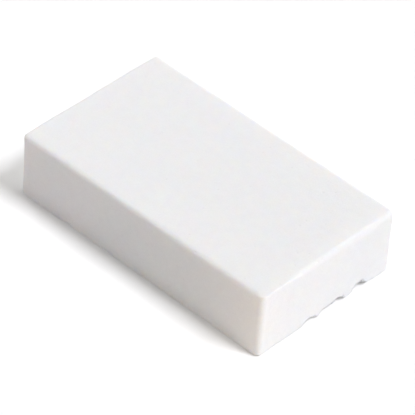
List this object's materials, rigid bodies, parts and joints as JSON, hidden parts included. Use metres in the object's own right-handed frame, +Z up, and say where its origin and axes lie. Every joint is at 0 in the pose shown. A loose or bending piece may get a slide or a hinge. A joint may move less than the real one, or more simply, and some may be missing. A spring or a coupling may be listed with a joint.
{
  "type": "gymnastics chalk block",
  "caption": "Flat rectangular block of pressed magnesium carbonate chalk with slightly worn edges, rubbed on the hands to dry the grip.",
  "frame": {"origin": "centre of the bottom face, on the surface that the block lies on", "axes": "+X along the length, +Y across the width, +Z up through the height, which is the block's smallest size"},
  "size_m": [0.088, 0.051, 0.021],
  "materials": {
    "chalk": "matte"
  },
  "bodies": {
    "root": {"chalk_block": "chalk"}
  },
  "joints": []
}
